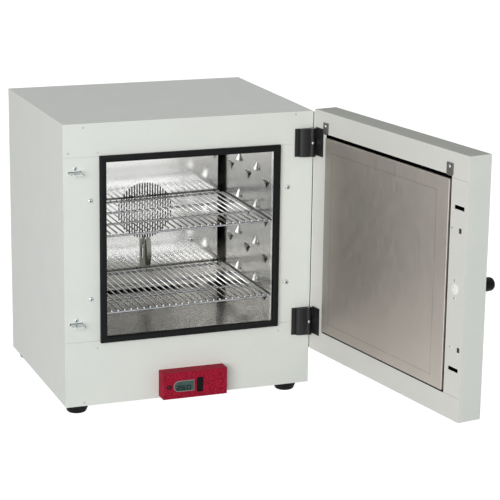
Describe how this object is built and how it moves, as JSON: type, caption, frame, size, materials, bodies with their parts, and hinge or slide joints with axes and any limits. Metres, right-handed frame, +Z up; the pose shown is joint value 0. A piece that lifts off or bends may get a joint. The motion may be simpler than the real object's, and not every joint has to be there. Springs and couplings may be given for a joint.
{
  "type": "drying cabinet",
  "caption": "Bench drying cabinet with its insulated door open, wire shelves in a stainless chamber, a fan grille and a small red control box.",
  "frame": {"origin": "middle of the sole of the front left foot, on which the cabinet stands", "axes": "+Z up, +X to the right as seen from the front, -Y out of the chamber's opening"},
  "size_m": [0.7116, 0.9935, 0.622],
  "materials": {
    "body_paint": "satin fine-textured greenish white powder coat",
    "frame_paint": "satin fine-textured pale grey powder coat",
    "liner_steel": "bright rolled stainless",
    "panel_steel": "satin stainless",
    "bright_steel": "bright plated",
    "shelf_chrome": "polished plated wire",
    "plain_steel": "zinc plated",
    "seal_rubber": "matt black",
    "foot_rubber": "matt black",
    "black_plastic": "satin black",
    "dark_plastic": "dark grey",
    "red_paint": "fine-speckled red powder coat",
    "window": "glossy dark window",
    "lens": "glossy dark red",
    "nylon": "satin white",
    "wool": "mineral wool",
    "board": "green board"
  },
  "bodies": {
    "cabinet": {"outer_wrap": "body_paint", "base_panel": "plain_steel", "rear_cover": "body_paint", "front_stile_left": "body_paint", "front_stile_right": "body_paint", "front_rail_top": "body_paint", "front_rail_bottom": "body_paint", "liner_wall_left": "liner_steel", "liner_wall_right": "liner_steel", "liner_roof": "liner_steel", "liner_floor": "liner_steel", "liner_back": "liner_steel", "insulation": "wool", "air_baffle": "liner_steel", "fan_motor": "dark_plastic", "motor_bracket": "plain_steel", "heater_element": "plain_steel", "sensor_strip": "liner_steel", "temperature_probe": "bright_steel", "door_gasket": "seal_rubber", "strike_upper": "bright_steel", "strike_lower": "bright_steel", "control_housing": "red_paint", "display_window": "window", "indicator_lens": "lens", "switch_frame": "black_plastic", "control_board": "board", "mains_inlet": "black_plastic", "frame_screw_left_high": "bright_steel", "frame_screw_right_high": "bright_steel", "frame_screw_left_low": "bright_steel", "frame_screw_right_low": "bright_steel", "baffle_screw_left": "bright_steel", "baffle_screw_right": "bright_steel", "foot_front_left": "foot_rubber", "foot_front_right": "foot_rubber", "foot_rear_left": "foot_rubber", "foot_rear_right": "foot_rubber", "hinge_leaf_body_upper": "black_plastic", "hinge_pin_upper": "plain_steel", "hinge_leaf_body_lower": "black_plastic", "hinge_pin_lower": "plain_steel"},
    "door": {"door_skin": "body_paint", "door_frame": "frame_paint", "door_panel": "panel_steel", "door_insulation": "wool", "door_clip_hinge_side": "dark_plastic", "door_clip_free_side": "dark_plastic", "hinge_leaf_door_upper": "black_plastic", "hinge_leaf_door_lower": "black_plastic", "spindle_bush": "nylon"},
    "knob": {"door_knob": "black_plastic", "knob_spindle": "plain_steel"},
    "latch": {"latch_bar": "plain_steel"},
    "fan": {"fan_impeller": "bright_steel", "fan_shaft": "plain_steel"},
    "rocker": {"switch_rocker": "black_plastic"},
    "upper_shelf": {"shelf_upper": "shelf_chrome"},
    "lower_shelf": {"shelf_lower": "shelf_chrome"}
  },
  "joints": [
    {"name": "door_hinge", "type": "hinge", "parent": "cabinet", "child": "door", "pos_m": [0.5105, -0.0355, 0.3585], "axis": [0, 0, 1], "range_deg": [-99, 16]},
    {"name": "knob_turn", "type": "hinge", "parent": "door", "child": "knob", "pos_m": [0.66245, -0.53144, 0.358], "axis": [-0.9877, -0.1564, 0], "range_deg": [0, 60]},
    {"name": "latch_slide", "type": "slide", "parent": "door", "child": "latch", "axis": [0, 0, -1], "range_m": [0, 0.01]},
    {"name": "fan_spin", "type": "hinge", "parent": "cabinet", "child": "fan", "pos_m": [0.242, 0.314, 0.352], "axis": [0, 1, 0], "continuous": true},
    {"name": "rocker_tilt", "type": "hinge", "parent": "cabinet", "child": "rocker", "pos_m": [0.2545, -0.0572, 0.0495], "axis": [1, 0, 0], "range_deg": [0, 16]},
    {"name": "upper_shelf_slide", "type": "slide", "parent": "cabinet", "child": "upper_shelf", "axis": [0, -1, 0], "range_m": [0, 0.19]},
    {"name": "lower_shelf_slide", "type": "slide", "parent": "cabinet", "child": "lower_shelf", "axis": [0, -1, 0], "range_m": [0, 0.19]}
  ],
  "couplings": [
    {"joint": "knob_turn", "follows": "latch_slide", "rad_per_m": 104.72}
  ]
}
